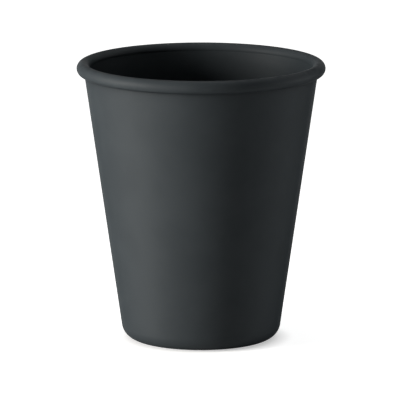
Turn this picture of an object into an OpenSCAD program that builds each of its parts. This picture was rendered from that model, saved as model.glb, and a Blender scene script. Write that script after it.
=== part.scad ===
// Drinking cup moulded in one piece: a drafted wall that runs up into a full round bead,
// a rounded heel, and a recessed underside that leaves a standing ring.
// The cup turns about Z and stands on the plane z = 0. Sizes are in millimetres.

/* [Overall] */
// Height from the table to the top of the bead
cup_h = 101.5; // [85:0.5:130]
// Diameter over the bead
rim_d = 90; // [80:0.5:100]
// Diameter at which the line of the outer wall would meet the table
base_d = 56.2; // [50:0.2:64]

/* [Wall] */
// Thickness of the side wall, measured square to it
wall_t = 2.1; // [1.4:0.1:3]
// Thickness of the floor above the recess
floor_t = 2.4; // [1.6:0.1:4]
// Radius inside, where the floor turns up into the wall
inner_heel_r = 3.8; // [2:0.1:6]

/* [Bead] */
// Diameter of the round bead along the rim
bead_d = 4.7; // [3.8:0.1:6]
// How far the bead stands proud of the wall inside
bead_proud = 0.12; // [0.05:0.01:0.3]
// Radius of the fillet where the bead's underside meets the wall
crease_r = 0.4; // [0.2:0.05:0.8]

/* [Base] */
// Radius of the heel, outside
heel_r = 5.8; // [4:0.1:8]
// Width of the flat ring that the cup stands on
foot_w = 2.2; // [1:0.1:5]
// Radius of the standing ring's inner edge
foot_edge_r = 0.4; // [0.1:0.05:1]
// Depth of the recess inside the standing ring
recess_h = 1.1; // [0.6:0.1:2]
// Radius of the cove between the standing ring and the recess's roof
cove_r = 0.6; // [0.2:0.05:1]

/* [Gate mark] */
// Diameter of the shallow dimple at the middle of the underside
dimple_d = 7; // [4:0.5:12]
// Depth of the dimple
dimple_h = 0.6; // [0.3:0.1:1]
// Diameter of the gate's stub in the dimple
stub_d = 1.8; // [1:0.1:3]
// Height of the gate's stub
stub_h = 0.35; // [0.1:0.05:0.6]

/* [Hidden] */
$fn = 180;
// How far a cut runs past the material that it opens
past = 5;

bead_r = bead_d / 2;
bead_c = [rim_d / 2 - bead_r, cup_h - bead_r];
// Distances from the bead's centre in to the wall's two faces
bead_to_inside = bead_r - bead_proud;
bead_to_outside = bead_to_inside - wall_t;
// The wall leans out from the vertical by this angle, from the base diameter to the bead.
run = bead_c - [base_d / 2, 0];
lean = atan2(run[0], run[1]) - asin(bead_to_outside / norm(run));

floor_z = recess_h + floor_t;
heel_c = corner_centre(wall_line_r(0, 0), 0, heel_r);
inner_heel_c = corner_centre(wall_line_r(0, wall_t), floor_z, inner_heel_r);
// The edge and the cove each take half of the recess's depth at most.
edge_r = min(foot_edge_r, recess_h / 2);
roof_r = min(cove_r, recess_h / 2);
recess_r = heel_c[0] - foot_w - edge_r;

// A step of length d square to the wall, outward, and one along the wall, upward
function out(d) = d * [cos(lean), -sin(lean)];
function up(d) = d * [sin(lean), cos(lean)];

// Radius, at height z, of the line that lies depth t inside the outer wall's face
function wall_line_r(z, t) = base_d / 2 + z * tan(lean) - t / cos(lean);

// Centre of a corner of radius r that touches a level floor at height z
// and a wall line whose radius is line_r at height 0
function corner_centre(line_r, z, r) = [line_r + (z + r) * tan(lean) - r / cos(lean), z + r];

// Half section of a filled vessel, from the axis to one face of the wall. The circle about c
// rounds its corner.
module vessel(c, r, wall_top, top_z) {
    polygon([[0, c[1] - r], [c[0], c[1] - r], c + out(r), wall_top, [0, top_z]]);
    translate(c) circle(r);
}

// Everything inside the outer face, up to a line square to the wall through the bead's centre
module outer_form() {
    vessel(heel_c, heel_r, bead_c - out(bead_to_outside), bead_c[1] + bead_c[0] * tan(lean));
}

// The space that the drink fills, open past the rim
module inside_form() {
    top_z = bead_c[1] + bead_c[0] * tan(lean) + past;
    vessel(inner_heel_c, inner_heel_r, [wall_line_r(top_z, wall_t), top_z], top_z);
}

module bead_section() {
    translate(bead_c) circle(bead_r);
}

// Fillet that fills the crease between the bead's underside and the wall, rooted half way
// through the wall
module crease_fillet() {
    off = crease_r - bead_to_outside;
    c = bead_c + out(off) - up(sqrt(pow(bead_r + crease_r, 2) - pow(off, 2)));
    root = wall_t / 2;
    difference() {
        polygon([c, bead_c, bead_c - out(bead_to_outside + root), c - out(crease_r + root)]);
        translate(c) circle(crease_r);
    }
}

// Recess in the underside, with a cove under its roof and a rounded edge at its mouth
module recess() {
    translate([0, -past]) square([recess_r, past + recess_h - roof_r]);
    translate([0, -past]) square([recess_r - roof_r, past + recess_h]);
    translate([recess_r - roof_r, recess_h - roof_r]) circle(roof_r);
    difference() {
        translate([0, -past]) square([recess_r + edge_r, past + edge_r]);
        translate([recess_r + edge_r, edge_r]) circle(edge_r);
    }
}

// Shallow dimple of a sphere, cut into the recess's roof
module gate_dimple() {
    ball_r = (pow(dimple_d / 2, 2) + pow(dimple_h, 2)) / (2 * dimple_h);
    intersection() {
        translate([0, recess_h + dimple_h - ball_r]) circle(ball_r);
        translate([0, recess_h - dimple_h]) square([dimple_d, 2 * dimple_h]);
    }
}

// Stub that the gate leaves, hanging from the dimple's roof and kept above the table
module gate_stub() {
    translate([0, recess_h + dimple_h - stub_h]) square([stub_d / 2, stub_h + floor_t / 4]);
}

module cup() {
    color("#2f3336")
        rotate_extrude()
            union() {
                difference() {
                    outer_form();
                    inside_form();
                    recess();
                    gate_dimple();
                }
                bead_section();
                crease_fillet();
                gate_stub();
            }
}

cup();
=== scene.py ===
from math import acos, asin, atan2, ceil, cos, hypot, pi, radians, sin, sqrt, tan

import bpy
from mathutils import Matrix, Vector


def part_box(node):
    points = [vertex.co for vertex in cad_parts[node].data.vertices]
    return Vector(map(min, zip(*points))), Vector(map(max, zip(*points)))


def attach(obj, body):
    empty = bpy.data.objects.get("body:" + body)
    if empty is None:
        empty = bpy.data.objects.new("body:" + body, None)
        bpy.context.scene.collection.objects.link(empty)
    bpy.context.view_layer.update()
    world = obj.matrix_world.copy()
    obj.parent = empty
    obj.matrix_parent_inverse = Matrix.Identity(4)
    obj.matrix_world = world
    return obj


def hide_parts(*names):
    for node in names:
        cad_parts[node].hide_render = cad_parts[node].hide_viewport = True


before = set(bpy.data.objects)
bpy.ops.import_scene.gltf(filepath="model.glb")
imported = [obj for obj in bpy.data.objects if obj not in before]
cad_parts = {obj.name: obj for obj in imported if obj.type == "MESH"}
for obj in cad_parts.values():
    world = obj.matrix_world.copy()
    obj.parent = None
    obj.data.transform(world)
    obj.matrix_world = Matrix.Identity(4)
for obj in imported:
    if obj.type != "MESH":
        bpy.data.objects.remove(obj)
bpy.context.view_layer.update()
mm = 0.001
quarter = pi / 2
print("frame loaded:", sorted(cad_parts))


def linearColour(hexColour):
    # sRGB hex to the linear red, green, blue and alpha of a colour socket
    shares = [int(hexColour[i:i + 2], 16) / 255 for i in (1, 3, 5)]
    return (*(s / 12.92 if s <= 0.04045 else ((s + 0.055) / 1.055) ** 2.4 for s in shares), 1.0)


def addNode(tree, kind, inputs=None, **settings):
    # A node with its settings. Each input gets a value, or a list of the sockets that feed it.
    node = tree.nodes.new(kind)
    for name, value in settings.items():
        setattr(node, name, value)
    for name, value in (inputs or {}).items():
        if isinstance(value, list):
            for source in value:
                tree.links.new(source, node.inputs[name])
        else:
            node.inputs[name].default_value = value
    return node


# The cup's section in millimetres. Its height and the rim's width come from the frame.
cupLow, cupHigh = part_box("cup")
cupSizes = {
    "height": cupHigh.z / mm,
    "rimRadius": min(cupHigh.x, cupHigh.y, -cupLow.x, -cupLow.y) / mm,
    "baseRadius": 28.1,  # where the line of the outer wall would meet the table
    "wall": 2.1,
    "floor": 2.4,
    "innerHeelRadius": 3.8,
    "beadRadius": 2.35,
    "beadProud": 0.12,  # how far the bead stands into the cup past the wall
    "creaseRadius": 0.4,
    "heelRadius": 5.8,
    "footWidth": 2.2,
    "footEdgeRadius": 0.4,
    "recess": 1.1,
    "coveRadius": 0.6,
    "dimpleRadius": 3.5,
    "dimple": 0.6,
    "stubRadius": 0.9,
    "stub": 0.35,
    "stubEdgeRadius": 0.1,
    "around": 256,  # points in a turn
    "ringSpacing": 2.0,  # the widest step along a straight stretch
    "chordError": 0.002,  # how far a chord may stray from its arc
    "arcStep": 0.2,  # radians, the widest step round an arc
    "weld": 0.001,  # points closer than this become one
    "sharpBend": 15,  # degrees, past which an edge is left sharp
}


def cupArcs(s):
    # The arcs of the section, from the middle of the inner floor round to the middle of the
    # underside: centre (radius, height), radius, start angle and turn. What lies between one
    # arc and the next is straight, and an arc of no radius is a point.
    bead = (s["rimRadius"] - s["beadRadius"], s["height"] - s["beadRadius"])
    inside = s["beadRadius"] - s["beadProud"]
    outside = inside - s["wall"]
    run = (bead[0] - s["baseRadius"], bead[1])
    lean = atan2(*run) - asin(outside / hypot(*run))

    def byBead(across, along):
        # From the steps square to the wall and along it, counted from the bead's centre
        return (bead[0] + across * cos(lean) + along * sin(lean),
                bead[1] - across * sin(lean) + along * cos(lean))

    def onFloor(height, depth, radius):
        # Centre of a corner that touches a level floor and the wall's face at that depth
        return (s["baseRadius"] + (height + radius) * tan(lean) - (depth + radius) / cos(lean),
                height + radius)

    # Both creases touch the bead and a face of the wall, from outside the plastic.
    reach = s["beadRadius"] + s["creaseRadius"]
    innerAcross = inside + s["creaseRadius"]
    innerAlong = sqrt(reach ** 2 - innerAcross ** 2)
    innerTurn = atan2(innerAlong, innerAcross)
    outerAcross = s["creaseRadius"] - outside
    outerAlong = sqrt(reach ** 2 - outerAcross ** 2)
    outerTurn = atan2(outerAlong, outerAcross)

    floorTop = s["recess"] + s["floor"]
    heel = onFloor(0, 0, s["heelRadius"])
    edge = heel[0] - s["footWidth"]
    cove = edge - s["footEdgeRadius"] - s["coveRadius"]
    ball = (s["dimpleRadius"] ** 2 + s["dimple"] ** 2) / (2 * s["dimple"])
    ballStart = acos(s["dimpleRadius"] / ball)
    roof = s["recess"] + s["dimple"]
    stubEnd = roof - s["stub"]
    stubEdge = s["stubEdgeRadius"]
    return {
        "floor middle": ((0, floorTop), 0, 0, 0),
        "inner heel": (onFloor(floorTop, s["wall"], s["innerHeelRadius"]), s["innerHeelRadius"],
                       -quarter, quarter - lean),
        "inner crease": (byBead(-innerAcross, -innerAlong), s["creaseRadius"], -lean, innerTurn),
        "bead": (bead, s["beadRadius"], pi + innerTurn - lean, -pi - innerTurn - outerTurn),
        "outer crease": (byBead(outerAcross, -outerAlong), s["creaseRadius"],
                         pi - outerTurn - lean, outerTurn),
        "heel": (heel, s["heelRadius"], -lean, lean - quarter),
        "foot edge": ((edge, s["footEdgeRadius"]), s["footEdgeRadius"], -quarter, -quarter),
        "cove": ((cove, s["recess"] - s["coveRadius"]), s["coveRadius"], 0, quarter),
        "dimple": ((0, roof - ball), ball, ballStart, acos(s["stubRadius"] / ball) - ballStart),
        "stub": ((s["stubRadius"] - stubEdge, stubEnd + stubEdge), stubEdge, 0, -quarter),
        "underside middle": ((0, stubEnd), 0, 0, 0),
    }


def arcInputs(s):
    # The inputs of the tree by name, in metres and radians
    inputs = {}
    for name, (centre, radius, start, turn) in cupArcs(s).items():
        step = min(s["arcStep"], sqrt(8 * s["chordError"] / radius)) if radius else 1
        inputs[name + " centre"] = (centre[0] * mm, centre[1] * mm, 0.0)
        inputs[name + " radius"] = radius * mm
        inputs[name + " start"] = float(start)
        inputs[name + " turn"] = float(turn)
        inputs[name + " points"] = 1 + max(1, ceil(abs(turn) / step))
    inputs["Around"] = s["around"]
    inputs["Ring spacing"] = s["ringSpacing"] * mm
    inputs["Weld distance"] = s["weld"] * mm
    inputs["Sharp bend"] = radians(s["sharpBend"])
    return inputs


def turnedTree(arcNames, inputs, material):
    tree = bpy.data.node_groups.new("turned section", "GeometryNodeTree")
    tree.interface.new_socket("Cup", in_out="OUTPUT", socket_type="NodeSocketGeometry")
    sockets = {tuple: "NodeSocketVector", float: "NodeSocketFloat", int: "NodeSocketInt"}
    for name, value in inputs.items():
        tree.interface.new_socket(name, in_out="INPUT", socket_type=sockets[type(value)])
    size = addNode(tree, "NodeGroupInput").outputs

    # The section: every arc in its place, then one line through all their points
    placed = []
    for name in arcNames:
        arc = addNode(tree, "GeometryNodeCurveArc", {
            "Resolution": [size[name + " points"]], "Radius": [size[name + " radius"]],
            "Start Angle": [size[name + " start"]], "Sweep Angle": [size[name + " turn"]],
        }, mode="RADIUS")
        placed.append(addNode(tree, "GeometryNodeSetPosition", {
            "Geometry": [arc.outputs["Curve"]], "Offset": [size[name + " centre"]],
        }).outputs[0])
    placed.reverse()  # Join Geometry puts the last link first
    arcs = addNode(tree, "GeometryNodeJoinGeometry", {"Geometry": placed})
    points = addNode(tree, "GeometryNodeCurveToPoints", {"Curve": [arcs.outputs[0]]}, mode="EVALUATED")
    line = addNode(tree, "GeometryNodePointsToCurves", {"Points": [points.outputs["Points"]]})

    # Rings along the straight stretches, as many as their length asks for
    here = addNode(tree, "GeometryNodeInputPosition")
    index = addNode(tree, "GeometryNodeInputIndex")
    nextIndex = addNode(tree, "ShaderNodeMath", {0: [index.outputs[0]], 1: 1.0}, operation="ADD")
    there = addNode(tree, "GeometryNodeFieldAtIndex", {
        "Index": [nextIndex.outputs[0]], "Value": [here.outputs[0]],
    }, data_type="FLOAT_VECTOR")
    length = addNode(tree, "ShaderNodeVectorMath", {
        0: [here.outputs[0]], 1: [there.outputs[0]],
    }, operation="DISTANCE")
    cuts = addNode(tree, "ShaderNodeMath", {
        0: [length.outputs["Value"]], 1: [size["Ring spacing"]],
    }, operation="DIVIDE")
    section = addNode(tree, "GeometryNodeSubdivideCurve", {
        "Curve": [line.outputs[0]], "Cuts": [cuts.outputs[0]],
    })
    upright = addNode(tree, "GeometryNodeTransform", {
        "Geometry": [section.outputs[0]], "Rotation": (quarter, 0, 0),
    })

    # A grid with a row for each point of the section and a column for each step of the turn,
    # the last column on the first
    count = addNode(tree, "GeometryNodeAttributeDomainSize", {
        "Geometry": [upright.outputs[0]],
    }, component="CURVE")
    columns = addNode(tree, "ShaderNodeMath", {0: [size["Around"]], 1: 1.0}, operation="ADD")
    grid = addNode(tree, "GeometryNodeMeshGrid", {
        "Vertices X": [count.outputs["Point Count"]], "Vertices Y": [columns.outputs[0]],
    })
    rows = addNode(tree, "ShaderNodeMath", {
        0: [index.outputs[0]], 1: [columns.outputs[0]],
    }, operation="DIVIDE")
    row = addNode(tree, "ShaderNodeMath", {0: [rows.outputs[0]]}, operation="FLOOR")
    column = addNode(tree, "ShaderNodeMath", {
        0: [index.outputs[0]], 1: [columns.outputs[0]],
    }, operation="MODULO")
    share = addNode(tree, "ShaderNodeMath", {
        0: [column.outputs[0]], 1: [size["Around"]],
    }, operation="DIVIDE")
    angle = addNode(tree, "ShaderNodeMath", {0: [share.outputs[0]], 1: 2 * pi}, operation="MULTIPLY")
    onSection = addNode(tree, "GeometryNodeSampleIndex", {
        "Geometry": [upright.outputs[0]], "Value": [here.outputs[0]], "Index": [row.outputs[0]],
    }, data_type="FLOAT_VECTOR")
    turned = addNode(tree, "ShaderNodeVectorRotate", {
        "Vector": [onSection.outputs[0]], "Angle": [angle.outputs[0]],
    }, rotation_type="Z_AXIS")
    shell = addNode(tree, "GeometryNodeSetPosition", {
        "Geometry": [grid.outputs["Mesh"]], "Position": [turned.outputs[0]],
    })

    # The seam and the two middles are closed, and only true corners are left sharp
    closed = addNode(tree, "GeometryNodeMergeByDistance", {
        "Geometry": [shell.outputs[0]], "Distance": [size["Weld distance"]],
    })
    smooth = addNode(tree, "GeometryNodeSetShadeSmooth", {"Geometry": [closed.outputs[0]]})
    bend = addNode(tree, "GeometryNodeInputMeshEdgeAngle")
    sharp = addNode(tree, "ShaderNodeMath", {
        0: [bend.outputs["Unsigned Angle"]], 1: [size["Sharp bend"]],
    }, operation="GREATER_THAN")
    shaded = addNode(tree, "GeometryNodeSetShadeSmooth", {
        "Geometry": [smooth.outputs[0]], "Selection": [sharp.outputs[0]], "Shade Smooth": False,
    }, domain="EDGE")
    whole = addNode(tree, "GeometryNodeRealizeInstances", {"Geometry": [shaded.outputs[0]]})
    dressed = addNode(tree, "GeometryNodeSetMaterial", {
        "Geometry": [whole.outputs[0]], "Material": material,
    })
    addNode(tree, "NodeGroupOutput", {"Cup": [dressed.outputs[0]]})
    return tree


def mouldedCup(material):
    inputs = arcInputs(cupSizes)
    tree = turnedTree(list(cupArcs(cupSizes)), inputs, material)
    cup = bpy.data.objects.new("mouldedCup", bpy.data.meshes.new("mouldedCup"))
    bpy.context.scene.collection.objects.link(cup)
    modifier = cup.modifiers.new("turned section", "NODES")
    modifier.node_group = tree
    for item in tree.interface.items_tree:
        if item.in_out == "INPUT":
            modifier[item.identifier] = inputs[item.name]
    seen = cup.evaluated_get(bpy.context.evaluated_depsgraph_get())
    cup.data = bpy.data.meshes.new_from_object(seen)
    cup.modifiers.clear()
    cup.data.name = "mouldedCup"
    cup.data.materials.pop(index=0)  # the empty slot of the tree's grid
    return cup


# The plastic: dark pigment all through, and the fine matt skin of a spark-eroded mould. The eye
# sees an even charcoal whose highlight is broad and dull. The real grain is about 0.15 mm wide
# and 10 microns deep, finer than a pixel, so it is drawn wider and shallower. Widths, depths and
# reaches are in millimetres. A pair holds where a mask starts and where it is full.
plasticLook = {
    "colour": "#2d3235",
    "paleCloud": "#303538",  # pigment that the melt spread a little unevenly
    "cloudWidth": 14.0,
    "cloudMask": (0.35, 0.65),
    # painted shade: the crease colour darkens the plastic where few directions are open
    "creaseShadeColour": "#080b0f",  # deep in the creases, where light from few sides comes in
    "creaseReach": 5.0,
    "creaseShadeMask": (0.57, 1.0),  # shares of the directions that are open
    "ior": 1.49,
    "specularLevel": 0.15,
    "grazingLevel": 0.015,  # the rough skin shades itself where it is seen at a flat angle
    "grazingMask": (0.25, 0.75),
    # painted shade on the gloss: deep in the cup the gloss is cut down further, darkening the hollow
    "hollowShadeReach": 100.0,  # how far off a wall opposite still dulls the gloss
    "hollowShadeMask": (0.36, 0.62),
    "hollowShadedGloss": 0.2,  # the share of the gloss that is left deep in the cup
    "occlusionSamples": 16,
    "roughness": 0.62,
    "roughnessSpread": 0.03,
    "grainWidth": 0.45,
    "grainDepth": 0.004,
    "grainMask": (0.2, 0.8),
    "burnishedRoughness": 0.5,  # where lips, hands and tables have rubbed the grain down
    "rubWidth": 2.5,
    "rubMask": (0.3, 0.6),
    "crownRub": (1.6, 0.1),  # below the rim's top
    "footRub": (0.6, 0.0),  # above the table
}


def mouldedPolypropylene(look, s):
    material = bpy.data.materials.new("moulded polypropylene, spark-eroded matt")
    material.use_nodes = True
    tree = material.node_tree
    tree.nodes.clear()
    place = addNode(tree, "ShaderNodeTexCoord").outputs["Object"]

    def noise(width, detail, roughness=0.5):
        # Clouds of that width in millimetres
        return addNode(tree, "ShaderNodeTexNoise", {
            "Vector": [place], "Scale": 1 / (width * mm), "Detail": detail, "Roughness": roughness,
        }).outputs["Fac"]

    def ramp(value, mask, start=0.0, end=1.0):
        return addNode(tree, "ShaderNodeMapRange", {
            "Value": [value], "From Min": mask[0], "From Max": mask[1],
            "To Min": start, "To Max": end,
        }, interpolation_type="SMOOTHSTEP").outputs["Result"]

    def joined(operation, first, second):
        return addNode(tree, "ShaderNodeMath", {0: [first], 1: [second]}, operation=operation).outputs[0]

    def openness(reach):
        # The share of the directions in which the cup leaves a point open, as far as the reach
        return addNode(tree, "ShaderNodeAmbientOcclusion", {
            "Distance": reach * mm,
        }, samples=look["occlusionSamples"], only_local=True).outputs["AO"]

    # Colour: charcoal with faint clouds, so that no stretch of it is quite flat, and painted shade
    # in the creases, darker where the cup leaves few directions open
    cloud = noise(look["cloudWidth"], 3.0)
    pigment = addNode(tree, "ShaderNodeMix", {
        0: [ramp(cloud, look["cloudMask"])],
        6: linearColour(look["colour"]), 7: linearColour(look["paleCloud"]),
    }, data_type="RGBA").outputs[2]
    # painted shade: the pigment is mixed towards the dark crease colour where the occlusion is high
    colour = addNode(tree, "ShaderNodeMix", {
        0: [ramp(openness(look["creaseReach"]), look["creaseShadeMask"])],
        6: linearColour(look["creaseShadeColour"]), 7: [pigment],
    }, data_type="RGBA").outputs[2]

    # Wear: the crown of the bead and the standing ring are smoother than the wall, unevenly
    height = addNode(tree, "ShaderNodeSeparateXYZ", {"Vector": [place]}).outputs["Z"]
    crown = ramp(height, [(s["height"] - depth) * mm for depth in look["crownRub"]])
    foot = ramp(height, [above * mm for above in look["footRub"]])
    patches = ramp(noise(look["rubWidth"], 4.0), look["rubMask"])
    rubbed = joined("MULTIPLY", joined("MAXIMUM", crown, foot), patches)
    grain = noise(look["grainWidth"], 2.0)
    skin = ramp(grain, look["grainMask"], look["roughness"] - look["roughnessSpread"],
                look["roughness"] + look["roughnessSpread"])
    roughness = addNode(tree, "ShaderNodeMix", {
        0: [rubbed], 2: [skin], 3: look["burnishedRoughness"],
    }).outputs[0]

    bump = addNode(tree, "ShaderNodeBump", {
        "Height": [grain], "Strength": 1.0, "Distance": look["grainDepth"] * mm,
    }).outputs["Normal"]

    # Gloss: weak, weaker at flat angles, and turned down further deep in the hollow as painted shade
    slant = addNode(tree, "ShaderNodeLayerWeight", {"Blend": 0.5}).outputs["Facing"]
    gloss = ramp(slant, look["grazingMask"], look["specularLevel"], look["grazingLevel"])
    # painted shade: the gloss level falls where the cup leaves few directions open
    hollowShade = ramp(openness(look["hollowShadeReach"]), look["hollowShadeMask"], look["hollowShadedGloss"], 1.0)
    surface = addNode(tree, "ShaderNodeBsdfPrincipled", {
        "Base Color": [colour], "Roughness": [roughness], "Normal": [bump], "IOR": look["ior"],
        "Specular IOR Level": [joined("MULTIPLY", gloss, hollowShade)],
    })
    addNode(tree, "ShaderNodeOutputMaterial", {"Surface": [surface.outputs[0]]})
    return material


plastic = mouldedPolypropylene(plasticLook, cupSizes)
cup = mouldedCup(plastic)
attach(cup, "root")
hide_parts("cup")
print("cup made:", len(cup.data.polygons), "faces")

# The floor and the room. Both read white to the camera and in reflections, and the lamps alone
# light the cup. The paper's glow fills its lit colour up to white and leaves a soft shadow of the
# cup. It stands for light from all round: the cup shades it at the foot, and it grows outwards as
# the lamps' light falls off. Lengths are in metres.
studio = {
    "floorReach": 3.0,
    "floorColour": "#e8e8e8",
    "floorGlow": 0.96,  # round the cup, as the camera sees it
    "floorGloss": 0.5,  # round the cup, as a reflection sees it
    "nearRadius": 0.1,  # where the glow starts to grow
    "farRadius": 0.45,  # where it has reached white
    "footShade": 0.008,  # how far from the paper the cup still shades the glow
    "footGlow": 0.5,  # the share of the glow that is left right at the foot
    "footMask": (0.2, 0.85),  # open shares at which the paper is shaded in full, and not at all
    "occlusionSamples": 16,
    # azimuth (0 is the camera's side, minus is left), elevation, distance, width, height, watts
    # and colour, a little warm on the left and a little cool on the right and above
    "lamps": {
        "low softbox": (-69, 3.4, 1.0, 0.3, 0.2, 11.8, "#fffbf6"),
        "left softbox": (-73, 15.5, 1.0, 0.3, 0.2, 6.9, "#fffbf6"),
        "right card": (104, 2.0, 1.0, 0.3, 0.12, 2.1, "#f7fdff"),
        "top softbox": (180, 84.0, 1.0, 0.3, 0.3, 1.0, "#f7fdff"),
    },
    "aim": (0.0, 0.0, 0.05),
}


def seenDirectly(tree):
    # 1 for rays from the camera, off gloss or through glass, and 0 for the rest
    path = addNode(tree, "ShaderNodeLightPath").outputs
    first = addNode(tree, "ShaderNodeMath", {
        0: [path["Is Camera Ray"]], 1: [path["Is Glossy Ray"]],
    }, operation="MAXIMUM").outputs[0]
    return addNode(tree, "ShaderNodeMath", {
        0: [first], 1: [path["Is Transmission Ray"]],
    }, operation="MAXIMUM").outputs[0]


def paperFloor(s):
    material = bpy.data.materials.new("matt white paper")
    material.use_nodes = True
    tree = material.node_tree
    tree.nodes.clear()
    path = addNode(tree, "ShaderNodeLightPath").outputs
    level = addNode(tree, "ShaderNodeMapRange", {
        "Value": [path["Is Camera Ray"]], "To Min": s["floorGloss"], "To Max": s["floorGlow"],
    }).outputs["Result"]
    place = addNode(tree, "ShaderNodeTexCoord").outputs["Object"]
    reach = addNode(tree, "ShaderNodeVectorMath", {0: [place]}, operation="LENGTH").outputs["Value"]
    grown = addNode(tree, "ShaderNodeMapRange", {
        "Value": [reach], "From Min": s["nearRadius"], "From Max": s["farRadius"],
        "To Min": [level], "To Max": 1.0,
    }).outputs["Result"]
    openness = addNode(tree, "ShaderNodeAmbientOcclusion", {
        "Distance": s["footShade"],
    }, samples=s["occlusionSamples"]).outputs["AO"]
    shade = addNode(tree, "ShaderNodeMapRange", {
        "Value": [openness], "From Min": s["footMask"][0], "From Max": s["footMask"][1],
        "To Min": s["footGlow"], "To Max": 1.0,
    }).outputs["Result"]
    seen = addNode(tree, "ShaderNodeMath", {
        0: [seenDirectly(tree)], 1: [grown],
    }, operation="MULTIPLY").outputs[0]
    glow = addNode(tree, "ShaderNodeMath", {0: [seen], 1: [shade]}, operation="MULTIPLY").outputs[0]
    paper = addNode(tree, "ShaderNodeBsdfPrincipled", {
        "Base Color": linearColour(s["floorColour"]), "Roughness": 0.9, "Specular IOR Level": 0.0,
        "Emission Color": (1, 1, 1, 1), "Emission Strength": [glow],
    })
    addNode(tree, "ShaderNodeOutputMaterial", {"Surface": [paper.outputs[0]]})
    r = s["floorReach"]
    mesh = bpy.data.meshes.new("paperFloor")
    mesh.from_pydata([(-r, -r, 0), (r, -r, 0), (r, r, 0), (-r, r, 0)], [], [(0, 1, 2, 3)])
    mesh.materials.append(material)
    floor = bpy.data.objects.new("paperFloor", mesh)
    bpy.context.scene.collection.objects.link(floor)
    return floor


def whiteRoom():
    world = bpy.data.worlds.new("white room")
    world.use_nodes = True
    tree = world.node_tree
    tree.nodes.clear()
    light = addNode(tree, "ShaderNodeBackground", {
        "Color": (1, 1, 1, 1), "Strength": [seenDirectly(tree)],
    })
    addNode(tree, "ShaderNodeOutputWorld", {"Surface": [light.outputs[0]]})
    return world


def aimAt(obj, target):
    # Turns a lamp or the camera towards a point, with its top upwards
    obj.rotation_euler = (Vector(target) - obj.location).to_track_quat("-Z", "Y").to_euler()


def around(target, azimuth, elevation, distance):
    # A point at that distance from the target, in that direction
    a, e = radians(azimuth), radians(elevation)
    return Vector(target) + distance * Vector((sin(a) * cos(e), -cos(a) * cos(e), sin(e)))


def softbox(name, azimuth, elevation, distance, width, height, watts, colour):
    light = bpy.data.lights.new(name, "AREA")
    light.shape = "RECTANGLE"
    light.size = width
    light.size_y = height
    light.energy = watts
    light.color = linearColour(colour)[:3]
    lamp = bpy.data.objects.new(name, light)
    bpy.context.scene.collection.objects.link(lamp)
    lamp.location = around(studio["aim"], azimuth, elevation, distance)
    aimAt(lamp, studio["aim"])


paperFloor(studio)
bpy.context.scene.world = whiteRoom()
for name, settings in studio["lamps"].items():
    softbox(name, *settings)
print("floor, room and lamps made")

# The camera stands where the photograph was taken from, with a long lens
cameraView = {
    "azimuth": 0.0,
    "elevation": 10.75,
    "distance": 2.2107,
    "target": (-0.00039, 0.0, 0.05058),
    "lens": 548.7,
    "sensor": 36.0,
}
camera = bpy.data.objects.new("camera", bpy.data.cameras.new("camera"))
bpy.context.scene.collection.objects.link(camera)
camera.data.sensor_width = cameraView["sensor"]
camera.data.lens = cameraView["lens"]
camera.location = around(cameraView["target"], cameraView["azimuth"], cameraView["elevation"],
                         cameraView["distance"])
aimAt(camera, cameraView["target"])
bpy.context.scene.camera = camera
bpy.context.scene.view_settings.view_transform = "Standard"
print("camera made")
